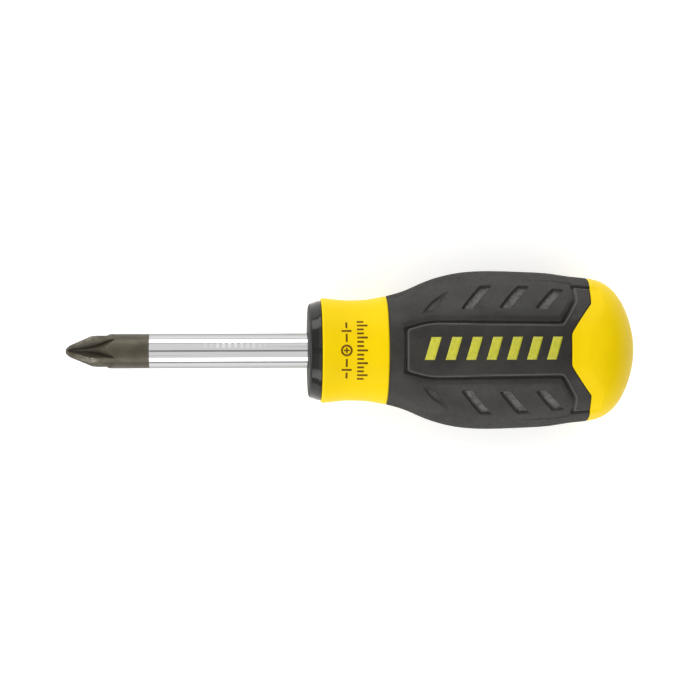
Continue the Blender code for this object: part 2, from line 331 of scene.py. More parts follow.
# %% [markdown]
# ## The black core and its nose ring
#
# The first shot of plastic is a plug round the buried blade, with four keys that the yellow shell can
# push against, and a ring that shows at the handle's nose. Its outline is walked as one path: out of
# the blind bore, across the flat front face, round the ring's edge, and back along the plug. Beside the
# blade's ears the bore is a slot instead of a circle.

# %% The core's surface
CORE_STEPS = 288
BORE_RADIUS = SHANK_RADIUS + 0.02
RING_FACE_RADIUS = 7.95
RING_RADIUS = 9.2
RING_ROUNDING = 0.62
RING_CONE_RADIUS = 8.7
RING_CONE = 2.02
RING_CONE_RISE = 1.16
PLUG_RADIUS = 6.3
PLUG_CHAMFER = 2.2
KEY_RADIUS = 7.5
KEY_HALF = 1.1
KEY_START, KEY_END = 49.0, 84.0
# Room that a neighbour leaves round the hidden ears and keys.
CLEARANCE = 0.08


def key_radius(roll, half, reach):
    """Radius of a cross of four keys that stand at 45 degrees to the label panel."""
    off = np.radians((roll % 90.0) - 45.0)
    side = half / np.maximum(np.abs(np.sin(off)), 1e-3)
    end = reach / np.maximum(np.cos(off), 0.1)
    return np.minimum(side, end)


def arc(start, end, count):
    """Angles in radians from one to another, both in degrees."""
    return np.radians(np.linspace(start, end, count))


def core_path():
    """Stations and radii of the core, from the bore's blind end out, round and back to the plug's end."""
    turn = arc(6.0, 66.0, 16)
    rounding = RING_CONE_RADIUS - RING_FACE_RADIUS
    edge_station = RING_FRONT + RING_ROUNDING * (1.0 - np.cos(turn))
    edge_radius = RING_FACE_RADIUS + rounding * np.sin(turn) / np.sin(turn[-1])
    cone = np.linspace(edge_station[-1] + 0.1, RING_FRONT + RING_CONE, 20)
    share = (cone - edge_station[-1]) / (cone[-1] - edge_station[-1])
    cone_radius = RING_CONE_RADIUS + (RING_RADIUS - RING_CONE_RADIUS) * share * RING_CONE_RISE
    cone_radius = soft_min(cone_radius, RING_RADIUS, 0.06)
    station = np.concatenate([
        [BLADE_END + GAP, EAR_REAR + CLEARANCE + EDGE, EAR_REAR + CLEARANCE, EAR_FRONT - CLEARANCE],
        [EAR_FRONT - CLEARANCE - EDGE, RING_FRONT + 0.3], RING_FRONT + np.array([0.08, 0.0, 0.0, 0.0, 0.0]),
        edge_station, cone, [RING_SEAM - 0.1, RING_SEAM, RING_SEAM, KEY_START, KEY_START + 0.01],
        [KEY_END, KEY_END + 0.01, CORE_END - PLUG_CHAMFER, CORE_END]])
    radius = np.concatenate([
        [BORE_RADIUS] * 6, [BORE_RADIUS + 0.1, BORE_RADIUS + 0.35, 5.0, 6.5, 7.6],
        edge_radius, cone_radius, [RING_RADIUS, RING_RADIUS - 0.1],
        [PLUG_RADIUS] * 6, [PLUG_RADIUS - PLUG_CHAMFER]])
    return station[:, None], radius[:, None]


station, radius = core_path()
rolls = np.arange(CORE_STEPS)[None, :] * 360.0 / CORE_STEPS
keyed = (station > KEY_START) & (station < KEY_END + 0.005) & (radius == PLUG_RADIUS)
over_keys = np.maximum(radius, key_radius(rolls, KEY_HALF, KEY_RADIUS))
radius = np.where(keyed, over_keys, radius + 0 * rolls)
ear_middle = (EAR_FRONT + EAR_REAR) / 2.0
ear_half = (EAR_REAR - EAR_FRONT) / 2.0
slotted = np.abs(station - ear_middle) < ear_half + CLEARANCE + EDGE / 2.0
slotted = slotted & (radius == BORE_RADIUS)
radius = np.where(slotted, np.maximum(radius, ear_radius(rolls) + CLEARANCE), radius)
nose_core = skin("nose_core", ring_points(station, radius, rolls))

# %% [markdown]
# ## The handle's outside
#
# The outside of the handle is one smooth barrel, which both the rubber and the yellow dome follow. The
# dome is a shallow ball end with a tight round at its corner. The line where rubber meets dome is not a
# plain circle: a yellow tongue reaches forward into the label panel, and the line slants back beside it.
# The handle has the same tongue, panel and pads on its underside, so the roll is *folded*: it is counted
# from the nearer panel's middle, 0 to 90 degrees.

# %% Barrel, dome and seam
HANDLE_KEYS = [(GRIP_SEAM, 10.02), (62.0, 10.95), (65.3, 12.38), (68.6, 13.53), (72.0, 14.26),
               (76.2, GRIP_RADIUS), (83.5, 14.47), (88.6, 14.18), (90.6, 13.92), (92.4, 13.64),
               (94.4, 13.43), (96.9, 13.1), (98.75, 12.5), (100.55, 11.25), (102.4, 8.75),
               (BUTT_END - 0.9, 5.4), (BUTT_END, 0.0)]
BEYOND = [(BUTT_END - 0.9, -5.4), (102.4, -8.75), (100.55, -11.25)]
handle_curve = curve_through(HANDLE_KEYS + BEYOND, 6000)
handle_curve = handle_curve[handle_curve[:, 1] >= 0.0]
COLLAR = outline([(RING_SEAM, 9.7), (48.7, 9.5), (51.0, 9.28), (53.5, 9.29), (55.4, 9.42),
                  (57.0, 9.69), (GRIP_SEAM, 10.02)])
TONGUE_FRONT, TONGUE_TURN = 91.3, 12.5
TONGUE_ROOT, ROOT_TURN = 95.4, 40.0
REAR_SEAM = 96.1
DOME_REST = 97.2


def barrel(station):
    """Radius of the handle's outline at a station in front of the dome's round."""
    return np.interp(station, handle_curve[:, 0], handle_curve[:, 1])


def fold(roll):
    """Roll from the middle of the nearer label panel, 0 to 90 degrees."""
    return np.abs((roll + 90.0) % 180.0 - 90.0)


def rear_seam(turn):
    """Station where rubber meets yellow: flat across the tongue, slanting back, then nearly straight."""
    slant = (TONGUE_ROOT - TONGUE_FRONT) / (ROOT_TURN - TONGUE_TURN)
    rest = (REAR_SEAM - TONGUE_ROOT) / (90.0 - ROOT_TURN)
    beside = soft_ramp(turn - TONGUE_TURN, 0.8)
    beyond = soft_ramp(turn - ROOT_TURN, 0.8)
    return TONGUE_FRONT + slant * beside - (slant - rest) * beyond


def dome_path(count):
    """Stations and radii along the outline from behind the seam to the butt, evenly spaced in distance."""
    rest = handle_curve[handle_curve[:, 0] > DOME_REST]
    walk = np.append(0.0, np.cumsum(np.hypot(*np.diff(rest, axis=0).T)))
    where = np.linspace(0.0, walk[-1], count, endpoint=False)
    return np.stack([np.interp(where, walk, rest[:, 0]), np.interp(where, walk, rest[:, 1])], axis=-1)


# %% [markdown]
# ## The rubber's relief
#
# On the barrel the mould has sunk two kinds of shape. The label panel is a long flat-ended shape with a
# narrow groove round it, open at the rear, where it widens into a band in front of the dome. Beside the
# panel, each raised pad has four slanted pockets. Each outline is built from straight lines: the
# distance inside the shape is the smallest of the distances inside its lines, with rounded corners, and
# the depth is a profile of that distance. Distances round the barrel are arc lengths in millimetres.

# %% Lines and outlines on the barrel
MEAN_RADIUS = 13.6
ARC_PER_DEGREE = math.radians(1.0) * MEAN_RADIUS


def inside_line(start, end, station, across):
    """Distance to the left of the line from start to end, each (station, millimetres across)."""
    along = np.array([end[0] - start[0], end[1] - start[1]])
    along = along / np.hypot(*along)
    return along[0] * (across - start[1]) - along[1] * (station - start[0])


def shape_inside(corners, station, across, rounding):
    """Distance inside an outline whose corners go round anticlockwise, with its corners rounded."""
    distance = None
    for start, end in zip(corners, corners[1:] + corners[:1]):
        side = inside_line(start, end, station, across)
        distance = side if distance is None else soft_min(distance, side, rounding)
    return distance


PANEL = [(61.35, -9.0), (120.0, -9.0), (120.0, 5.2), (89.6, 5.5), (66.3, 5.8), (61.35, 4.35)]
TAIL_FRONT, TAIL_ROOT = (92.0, 9.25), (89.6, 5.5)
TAIL_TURN = 61.5
PANEL_DEPTH = 0.36
GROOVE_DEPTH = 0.72
TAIL_DEPTH = 0.5
SHOULDER = 0.1
BEAD_HEIGHT, BEAD_PLACE, BEAD_WIDTH = 0.08, 0.78, 0.2
CREASE_TURN, CREASE_DEPTH, CREASE_WIDTH = 62.0, 0.24, 0.2
SEAM_ROUND = 0.12
POCKET_DEPTH = 0.75
POCKET_TURNS = (30.8, 53.3)
POCKET_LEAN = 3.9
POCKET_WIDTH = 2.1
POCKETS = [(67.2, 51.5, 0.65), (74.45, 53.3, 1.0), (81.3, 53.3, 1.0), (87.9, 51.3, 1.0)]


def panel_inside(station, turn):
    """Distance inside the panel and its tail band. The panel's edges are straight when seen from above it."""
    across = barrel(station) * np.sin(np.radians(turn))
    panel = shape_inside(PANEL, station, across, 0.5)
    slant = inside_line(TAIL_FRONT, TAIL_ROOT, station, across)
    pad_end = soft_max(station - TAIL_FRONT[0], slant, 0.3)
    tail = soft_min((TAIL_TURN - turn) * ARC_PER_DEGREE, pad_end, 0.4)
    return soft_max(panel, tail, 0.3), panel


def panel_depth(station, turn):
    """Depth of the panel: a soft shoulder, a wall down to the groove, a rise, and a low bead inside it."""
    inside, panel = panel_inside(station, turn)
    level = PANEL_DEPTH + (TAIL_DEPTH - PANEL_DEPTH) * smooth(0.0, 1.5, -panel)
    wall = SHOULDER * smooth(-0.7, 0.0, inside) + (GROOVE_DEPTH - SHOULDER) * smooth(0.0, 0.26, inside)
    rise = (GROOVE_DEPTH - level) * smooth(0.36, 0.68, inside)
    return wall - rise - BEAD_HEIGHT * np.exp(-(((inside - BEAD_PLACE) / BEAD_WIDTH) ** 2))


def pocket_inside(station, turn, middle, outer):
    """Distance inside one slanted pocket. Its outer end leans toward the butt."""
    inner = POCKET_TURNS[0] * ARC_PER_DEGREE
    reach = (outer - POCKET_TURNS[0]) / (POCKET_TURNS[1] - POCKET_TURNS[0]) * POCKET_LEAN
    outer = outer * ARC_PER_DEGREE
    left = middle - (POCKET_LEAN + POCKET_WIDTH) / 2.0
    right = left + POCKET_WIDTH
    corners = [(left, inner), (right, inner), (right + reach, outer), (left + reach, outer)]
    return shape_inside(corners, station, turn * ARC_PER_DEGREE, 0.25)


def pocket_depth(station, turn):
    """Depth of the pockets in a pad. The first runs out into the flare, and its front corner is cut off."""
    depth = np.zeros(np.broadcast(station, turn).shape)
    for number, (middle, outer, share) in enumerate(POCKETS):
        inside = pocket_inside(station, turn, middle, outer)
        if number == 0:
            corner = inside_line((69.8, 12.6), (65.0, 9.3), station, turn * ARC_PER_DEGREE)
            inside = soft_min(inside, corner, 0.25)
            inner_fade = 1.0 - 0.75 * smooth(38.0, 30.0, turn)
            rear_fade = 1.0 - 0.55 * smooth(67.0, 69.5, station)
            share = share * inner_fade * rear_fade
        depth = np.maximum(depth, share * POCKET_DEPTH * smooth(-0.04, 0.26, inside))
    return depth


def crease_depth(station, turn):
    """A fine crease where a pad meets the smooth side strip, fading out toward the nose."""
    off = (turn - CREASE_TURN) * ARC_PER_DEGREE
    fade = smooth(80.0, 88.0, station) * (1.0 - smooth(92.0, 92.6, station))
    return CREASE_DEPTH * fade * np.exp(-((off / CREASE_WIDTH) ** 2))


def rubber_radius(station, roll):
    """Radius of the rubber's outside: the barrel, less the panel, the pockets and the crease."""
    turn = fold(roll)
    relief = np.maximum(panel_depth(station, turn), pocket_depth(station, turn))
    return barrel(station) - relief - crease_depth(station, turn)


# %% [markdown]
# ## The soft grip
#
# The rubber is a sleeve. Its rings are packed closely where the relief is and loosely elsewhere, and the
# rear rings lean to follow the seam, so that the last one lies exactly on it. Both ends turn in over a
# small round, then the sleeve closes along its hidden inside.

# %% The grip's surface
quadrant = graded((0.0, 20.0, 14), (20.0, 66.0, 80), (66.0, 90.0, 14))
roll_steps = np.concatenate([quadrant[:-1], 180.0 - quadrant[:0:-1]])
roll_steps = np.concatenate([roll_steps, roll_steps + 180.0])[None, :]
base = graded((GRIP_SEAM, 60.8, 8), (60.8, 92.8, 166), (92.8, REAR_SEAM, 14))[:, None]


def lean(station, turn):
    """Move rear stations forward with the seam, more and more from the last pocket to the rear edge."""
    share = smooth(86.0, REAR_SEAM, station)
    return station + (rear_seam(turn) - REAR_SEAM) * share


SLEEVE_INSIDE = outline([(GRIP_SEAM, 8.5), (62.0, 9.0), (66.0, 10.5), (70.0, 11.6), (76.0, 12.0),
                         (86.0, 11.8), (REAR_SEAM, 11.0)])
turns = fold(roll_steps)
stations = lean(base, turns)
outside = rubber_radius(stations, roll_steps)
edge = np.minimum(stations - GRIP_SEAM, rear_seam(turns) - stations)
outside = outside - SEAM_ROUND * (1.0 - smooth(0.0, 0.22, edge))
hidden = graded((REAR_SEAM, GRIP_SEAM, 12))[:, None]
inner_stations = lean(hidden, turns)
inside = SLEEVE_INSIDE(inner_stations)
outer_rings = ring_points(stations, outside, roll_steps)
inner_rings = ring_points(inner_stations, inside, roll_steps)
soft_sleeve = skin("soft_sleeve", np.concatenate([outer_rings, inner_rings]), sleeve=True)
pocket_mask = pocket_depth(stations, turns) / POCKET_DEPTH
keep_value(soft_sleeve, "pocket", smooth(0.5, 0.98, pocket_mask))
# The bead value is a painted highlight along the low bead inside the panel's groove.
bead_place = (panel_inside(stations, turns)[0] - 0.74) / 0.17
keep_value(soft_sleeve, "bead", np.exp(-(bead_place**2)))

# %% [markdown]
# ## The yellow shell
#
# The shell is one moulding: the collar behind the nose ring, a waist hidden under the rubber, and the
# dome. Its path starts at the blind end of the space for the core, which has room for the core's keys,
# comes out at the nose, and goes back over the collar, down to the waist, up at the rear seam and over
# the dome.

# %% The shell's surface
DOME_STEPS = 64
DOME_SINK = 0.3
SPACE_RADIUS = 6.5
SPACE_END_RADIUS = 4.3


def dome_radius(station, roll):
    """Radius of the dome near its front edge, where it is a little sunk behind the tail band."""
    turn = fold(roll)
    band = smooth(0.0, 1.2, (TAIL_TURN - turn) * ARC_PER_DEGREE)
    back = station - rear_seam(turn)
    sunk = DOME_SINK * band * (1.0 - smooth(0.0, 3.5, back))
    return barrel(station) - sunk - SEAM_ROUND * (1.0 - smooth(0.0, 0.25, back))


collar_stations = graded((RING_SEAM, RING_SEAM + 0.4, 5), (RING_SEAM + 0.4, GRIP_SEAM - 0.3, 34),
                         (GRIP_SEAM - 0.3, GRIP_SEAM, 4))
collar_edge = np.minimum(collar_stations - RING_SEAM, GRIP_SEAM - collar_stations)
collar_radii = COLLAR(collar_stations) - 0.16 * (1.0 - smooth(0.0, 0.3, collar_edge)) ** 2
rolls = roll_steps
turns = fold(rolls)
space_stations = np.array([CORE_END + GAP, CORE_END - 2.0, KEY_END + CLEARANCE + EDGE, KEY_END + CLEARANCE,
                           KEY_START - CLEARANCE, KEY_START - CLEARANCE - EDGE, RING_SEAM])[:, None]
space_radii = np.array([SPACE_END_RADIUS] + [SPACE_RADIUS] * 6)[:, None]
key_room = key_radius(rolls, KEY_HALF + CLEARANCE, KEY_RADIUS + CLEARANCE)
room = space_stations > KEY_START - CLEARANCE - EDGE / 2.0
room = room & (space_stations < KEY_END + CLEARANCE + EDGE / 2.0)
space_radii = np.where(room, np.maximum(space_radii, key_room), space_radii)
core_space = ring_points(space_stations, space_radii, rolls)
collar_rings = ring_points(collar_stations[:, None], collar_radii[:, None], rolls)
waist_stations = lean(graded((GRIP_SEAM, REAR_SEAM, 12))[:, None], turns)
waist_rings = ring_points(waist_stations, SLEEVE_INSIDE(waist_stations) - 0.05, rolls)
share = graded((0.0, 0.12, 8), (0.12, 1.0, 24))[:, None]
front_edge = rear_seam(turns)
dome_stations = front_edge + (DOME_REST - front_edge) * share
dome_front = ring_points(dome_stations, dome_radius(dome_stations, rolls), rolls)
dome_rest = dome_path(DOME_STEPS)
dome_rings = ring_points(dome_rest[1:, :1], dome_rest[1:, 1:], rolls)
shell_rings = [core_space, collar_rings, waist_rings, dome_front, dome_rings]
yellow_shell = skin("yellow_shell", np.concatenate(shell_rings))

# %% [markdown]
# ## Printed marks
#
# Ink is pad-printed on the panel and on the collar. The marks here are plain ones: a row of slanted bars
# on the panel, and a drive symbol with strokes and a row of ticks on the collar. Each mark is a thin
# patch of its surface. Its outer face stands INK_LIFT above the surface, and Solidify puts its inner face
# as far below it, so the film has a crisp edge that no image could give.

# %% Ink patches
INK_LIFT = 0.015
INK_THICKNESS = 0.03


def ink(name, patches, surface):
    """Lay patches, each a grid (rows, columns, 2) of (station, arc millimetres), on a surface function.

    A patch whose last column falls on its first, as a ring's does, is joined up there.
    """
    points, faces, base_index = [], [], 0
    for patch in patches:
        closed = np.allclose(patch[:, 0], patch[:, -1])
        patch = patch[:, :-1] if closed else patch
        rows, columns = patch.shape[:2]
        station = patch[..., 0]
        radius = surface(station, np.zeros_like(station))
        roll = np.degrees(patch[..., 1] / radius)
        points.append(ring_points(station, surface(station, roll) + INK_LIFT, roll).reshape(-1, 3))
        index = base_index + np.arange(rows * columns).reshape(rows, columns)
        index = np.concatenate([index, index[:, :1]], axis=1) if closed else index
        quads = np.stack([index[:-1, :-1], index[1:, :-1], index[1:, 1:], index[:-1, 1:]], axis=-1)
        faces.append(quads.reshape(-1, 4))
        base_index += rows * columns
    piece = mesh_from(name, np.concatenate(points), [np.concatenate(faces)])
    wall = piece.modifiers.new("ink_thickness", "SOLIDIFY")
    wall.thickness = INK_THICKNESS * MM
    wall.offset = -1.0
    return piece


def bar(corner, length, height, lean_by, rows=6, columns=9):
    """A parallelogram patch from its low front corner."""
    along, across = np.meshgrid(np.linspace(0.0, 1.0, rows), np.linspace(0.0, 1.0, columns), indexing="ij")
    return np.stack([corner[0] + along * length + across * lean_by, corner[1] + across * height], axis=-1)


def annulus(centre, inner, outer, steps=48):
    """A ring-shaped patch round a centre."""
    turns = np.radians(np.linspace(0.0, 360.0, steps))
    radius, turn = np.meshgrid(np.linspace(outer, inner, 3), turns, indexing="ij")
    return np.stack([centre[0] + radius * np.cos(turn), centre[1] + radius * np.sin(turn)], axis=-1)


BAR_COUNT = 7
BAR_FIRST, BAR_PITCH = 64.9, 3.62
BAR_WIDTH, BAR_HEIGHT, BAR_LEAN = 1.75, 4.1, 1.2
bars = [bar((BAR_FIRST + number * BAR_PITCH, 0.3 - BAR_HEIGHT / 2.0), BAR_WIDTH, BAR_HEIGHT, BAR_LEAN)
        for number in range(BAR_COUNT)]
panel_print = ink("panel_print", bars, rubber_radius)


def collar_surface(station, roll):
    """Radius of the collar, which is round."""
    return COLLAR(station) + 0.0 * roll


TICK_START, TICK_PITCH = 52.95, 0.78
STROKE = 0.36
ticks = []
for number in range(-7, 8):
    length = 1.9 if number % 3 == 0 else 1.2
    low = number * TICK_PITCH - STROKE / 2.0
    ticks.append(bar((TICK_START, low), length, STROKE, 0.0, rows=4, columns=3))
SYMBOL = 51.05
symbol = [annulus((SYMBOL, 0.0), 0.72, 1.05)]
symbol.append(bar((SYMBOL - 0.5, -0.14), 1.0, 0.28, 0.0, rows=4, columns=3))
symbol.append(bar((SYMBOL - 0.14, -0.5), 0.28, 1.0, 0.0, rows=3, columns=5))
for side in (-1.0, 1.0):
    symbol.append(bar((SYMBOL - STROKE / 2.0, side * 2.3 - 0.75), STROKE, 1.5, 0.0, rows=3, columns=7))
    symbol.append(bar((SYMBOL - 0.9, side * 3.6 - STROKE / 2.0), 1.8, STROKE, 0.0, rows=5, columns=3))
    symbol.append(bar((SYMBOL - STROKE / 2.0, side * 4.75 - 0.6), STROKE, 1.2, 0.0, rows=3, columns=7))
collar_print = ink("collar_print", ticks + symbol, collar_surface)

# %% [markdown]
# ## Shader groups
#
# Several finishes need the same effects: a fine grain, a slow mottle in the tone, and thin scratches.
# Each effect is a node group with named inputs and outputs, built once and placed in every material
# that needs it. A group only gives out values. The shader itself stays in the material.

# %% Node helpers


def new_group(name, inputs, outputs):
    """Start a shader node group with float inputs (name, default) and float outputs."""
    group = bpy.data.node_groups.new(name, "ShaderNodeTree")
    for label, default in inputs:
        socket = group.interface.new_socket(name=label, in_out="INPUT", socket_type="NodeSocketFloat")
        socket.default_value = default
    for label in outputs:
        group.interface.new_socket(name=label, in_out="OUTPUT", socket_type="NodeSocketFloat")
    return group, group.nodes.new("NodeGroupInput"), group.nodes.new("NodeGroupOutput")


def math_node(tree, operation, first, second=None):
    """Add a Math node. Its inputs are sockets or numbers."""
    node = tree.nodes.new("ShaderNodeMath")
    node.operation = operation
    for socket, value in zip(node.inputs, (first, second)):
        if isinstance(value, (int, float)):
            socket.default_value = value
        elif value is not None:
            tree.links.new(value, socket)
    return node.outputs[0]


def noise_node(tree, vector, scale, detail=3.0, roughness=0.55):
    """Add a Noise Texture on a vector and return its value. Scale is a socket or a number."""
    node = tree.nodes.new("ShaderNodeTexNoise")
    node.inputs["Detail"].default_value = detail
    node.inputs["Roughness"].default_value = roughness
    tree.links.new(vector, node.inputs["Vector"])
    if isinstance(scale, (int, float)):
        node.inputs["Scale"].default_value = scale
    else:
        tree.links.new(scale, node.inputs["Scale"])
    return node.outputs[0]


def range_node(tree, value, low, high, to_low=0.0, to_high=1.0):
    """Map a value from one range to another, with a soft S between."""
    node = tree.nodes.new("ShaderNodeMapRange")
    node.interpolation_type = "SMOOTHSTEP"
    for label, number in (("From Min", low), ("From Max", high), ("To Min", to_low), ("To Max", to_high)):
        node.inputs[label].default_value = number
    tree.links.new(value, node.inputs["Value"])
    return node.outputs[0]


# %% Fine grain, mottle and scratches


def make_grain_group():
    """Grain: two sizes of noise added, as the pitted face of an etched mould gives."""
    group, given, out = new_group("fine_grain", [("Scale", 3000.0)], ["Height", "Tone"])
    place = group.nodes.new("ShaderNodeTexCoord").outputs["Object"]
    fine = noise_node(group, place, given.outputs["Scale"], detail=2.0)
    coarse = noise_node(group, place, math_node(group, "MULTIPLY", given.outputs["Scale"], 0.37))
    both = math_node(group, "MULTIPLY", math_node(group, "ADD", fine, coarse), 0.5)
    group.links.new(both, out.inputs["Height"])
    group.links.new(range_node(group, both, 0.32, 0.68), out.inputs["Tone"])
    return group


def make_mottle_group():
    """Mottle: slow patches of tone from handling, and sparse specks of dust."""
    group, given, out = new_group("mottle", [("Scale", 120.0), ("Specks", 900.0)], ["Patches", "Specks"])
    place = group.nodes.new("ShaderNodeTexCoord").outputs["Object"]
    slow = noise_node(group, place, given.outputs["Scale"], detail=5.0, roughness=0.62)
    dots = noise_node(group, place, given.outputs["Specks"], detail=1.0)
    group.links.new(range_node(group, slow, 0.3, 0.7), out.inputs["Patches"])
    group.links.new(range_node(group, dots, 0.68, 0.76), out.inputs["Specks"])
    return group


def make_scratch_group():
    """Scratches: noise stretched along the tool's axis, cut to its thin middle lines."""
    group, given, out = new_group("drawn_lines", [("Scale", 2600.0), ("Stretch", 0.02)], ["Lines", "Height"])
    place = group.nodes.new("ShaderNodeTexCoord").outputs["Object"]
    parts = group.nodes.new("ShaderNodeSeparateXYZ")
    group.links.new(place, parts.inputs[0])
    joined = group.nodes.new("ShaderNodeCombineXYZ")
    drawn = math_node(group, "MULTIPLY", parts.outputs[0], given.outputs["Stretch"])
    group.links.new(drawn, joined.inputs[0])
    group.links.new(parts.outputs[1], joined.inputs[1])
    group.links.new(parts.outputs[2], joined.inputs[2])
    value = noise_node(group, joined.outputs[0], given.outputs["Scale"], detail=3.0, roughness=0.6)
    group.links.new(value, out.inputs["Height"])
    group.links.new(range_node(group, value, 0.58, 0.72), out.inputs["Lines"])
    return group


fine_grain = make_grain_group()
mottle = make_mottle_group()
drawn_lines = make_scratch_group()
print("shader groups:", [group.name for group in (fine_grain, mottle, drawn_lines)])

# %% Material helpers


def new_material(name, metallic=0.0):
    """Start a material and return it with its tree and its Principled BSDF."""
    material = bpy.data.materials.new(name)
    material.use_nodes = True
    shader = material.node_tree.nodes["Principled BSDF"]
    shader.inputs["Metallic"].default_value = metallic
    return material, material.node_tree, shader


def place_group(tree, group, **values):
    """Place a shader group in a material and set its inputs."""
    node = tree.nodes.new("ShaderNodeGroup")
    node.node_tree = group
    for label, value in values.items():
        node.inputs[label].default_value = value
    return node.outputs


def mix_colours(tree, share, first, second):
    """Mix two colours, each a colour or a socket, by a share socket."""
    node = tree.nodes.new("ShaderNodeMix")
    node.data_type = "RGBA"
    tree.links.new(share, node.inputs["Factor"])
    for label, value in (("A", first), ("B", second)):
        socket = [item for item in node.inputs if item.name == label and item.type == "RGBA"][0]
        if isinstance(value, tuple):
            socket.default_value = (*value, 1.0)
        else:
            tree.links.new(value, socket)
    return [item for item in node.outputs if item.type == "RGBA"][0]


def bump_from(tree, height, distance, strength, under=None):
    """Turn a height into a normal. Distance is in millimetres."""
    node = tree.nodes.new("ShaderNodeBump")
    node.inputs["Distance"].default_value = distance * MM
    node.inputs["Strength"].default_value = strength
    tree.links.new(height, node.inputs["Height"])
    if under is not None:
        tree.links.new(under, node.inputs["Normal"])
    return node.outputs[0]


def attribute_value(tree, name):
    """Read a number that a piece stores for each of its points."""
    node = tree.nodes.new("ShaderNodeAttribute")
    node.attribute_name = name
    return node.outputs["Fac"]


# %% [markdown]
# ## Finishes
#
# Each finish starts from what the real surface is. Chrome reflects a little over half of the light, in a
# neutral tone, and is almost perfectly smooth. The blackened point is a thin conversion coat on ground
# steel, brownish and satin. The rubber has a fine grain, and the pockets' floors are left rougher by the
# mould. The yellow plastic is satin, with a faint unevenness of colour.

# %% Finish: chrome and blackened steel
ETCH_ALONG = (25.0, 36.6)
ETCH_ACROSS = (0.5, 1.9)
ETCH_PITCH = 1.1


def band_mask(tree, value, low, high, edge):
    """One inside a band of values in millimetres, nought outside, with soft edges."""
    rising = range_node(tree, value, low * MM, (low + edge) * MM)
    falling = range_node(tree, value, (high - edge) * MM, high * MM, 1.0, 0.0)
    return math_node(tree, "MULTIPLY", rising, falling)


def etched_strokes(tree):
    """A row of short, half worn away strokes etched along the shank's upper side."""
    place = tree.nodes.new("ShaderNodeTexCoord").outputs["Object"]
    parts = tree.nodes.new("ShaderNodeSeparateXYZ")
    tree.links.new(place, parts.inputs[0])
    along, across, height = parts.outputs
    box = math_node(tree, "MULTIPLY", band_mask(tree, along, *ETCH_ALONG, 0.4),
                    band_mask(tree, across, *ETCH_ACROSS, 0.2))
    box = math_node(tree, "MULTIPLY", box, range_node(tree, height, 0.0, 0.5 * MM))
    beat = math_node(tree, "SINE", math_node(tree, "MULTIPLY", along, 2.0 * math.pi / (ETCH_PITCH * MM)))
    strokes = range_node(tree, beat, -0.1, 0.4)
    worn = range_node(tree, noise_node(tree, place, 300.0, detail=1.0), 0.35, 0.65, 0.25, 0.8)
    return math_node(tree, "MULTIPLY", math_node(tree, "MULTIPLY", box, strokes), worn)


def make_chrome():
    """Bright chrome: a neutral metal with faint drawn lines and a faint etched row."""
    material, tree, shader = new_material("chrome_plate", 1.0)
    lines = place_group(tree, drawn_lines, Scale=2200.0, Stretch=0.015)
    etched = etched_strokes(tree)
    metal = mix_colours(tree, lines["Lines"], (0.53, 0.532, 0.54), (0.46, 0.462, 0.47))
    tree.links.new(mix_colours(tree, etched, metal, (0.66, 0.66, 0.66)), shader.inputs["Base Color"])
    polish = range_node(tree, lines["Height"], 0.3, 0.75, 0.035, 0.11)
    tree.links.new(math_node(tree, "ADD", polish, math_node(tree, "MULTIPLY", etched, 0.2)),
                   shader.inputs["Roughness"])
    tree.links.new(bump_from(tree, lines["Height"], 0.002, 0.35), shader.inputs["Normal"])
    shader.inputs["Specular Tint"].default_value = (0.45, 0.45, 0.44, 1.0)
    return material


def make_blackened():
    """Blackened steel: dark brown-grey, satin, with the grinding lines still in it, painted shade in the
    flutes, and bright worn crests that are also a painted highlight.
    """
    material, tree, shader = new_material("blackened_steel", 0.55)
    patches = place_group(tree, mottle, Scale=420.0)
    grain = place_group(tree, fine_grain, Scale=7000.0)
    dark = mix_colours(tree, patches["Patches"], (0.055, 0.047, 0.031), (0.082, 0.071, 0.049))
    # Painted shade: the flutes are mixed toward near black by the flute value.
    dark = mix_colours(tree, attribute_value(tree, "flute"), dark, (0.012, 0.008, 0.004))
    # Worn crests: bright metal from wear, which also serves as a painted highlight on the wing edges.
    worn = math_node(tree, "MULTIPLY", attribute_value(tree, "worn_crest_highlight"), patches["Patches"])
    tree.links.new(mix_colours(tree, worn, dark, (0.62, 0.58, 0.5)), shader.inputs["Base Color"])
    rough = range_node(tree, grain["Tone"], 0.0, 1.0, 0.34, 0.48)
    tree.links.new(math_node(tree, "SUBTRACT", rough, math_node(tree, "MULTIPLY", worn, 0.12)),
                   shader.inputs["Roughness"])
    tree.links.new(bump_from(tree, grain["Height"], 0.006, 0.5), shader.inputs["Normal"])
    return material


chrome_plate = make_chrome()
blackened_steel = make_blackened()
print("steel finishes:", chrome_plate.name, blackened_steel.name)

# %% Finish: plastics


def make_yellow():
    """Yellow shell: satin hard plastic with a faint unevenness of colour."""
    material, tree, shader = new_material("yellow_plastic")
    patches = place_group(tree, mottle, Scale=90.0)
    grain = place_group(tree, fine_grain, Scale=1200.0)
    body = mix_colours(tree, patches["Patches"], (0.745, 0.525, 0.0), (0.79, 0.56, 0.001))
    tree.links.new(body, shader.inputs["Base Color"])
    tree.links.new(range_node(tree, grain["Tone"], 0.0, 1.0, 0.4, 0.48), shader.inputs["Roughness"])
    tree.links.new(bump_from(tree, grain["Height"], 0.002, 0.15), shader.inputs["Normal"])
    shader.inputs["Specular IOR Level"].default_value = 0.07
    return material


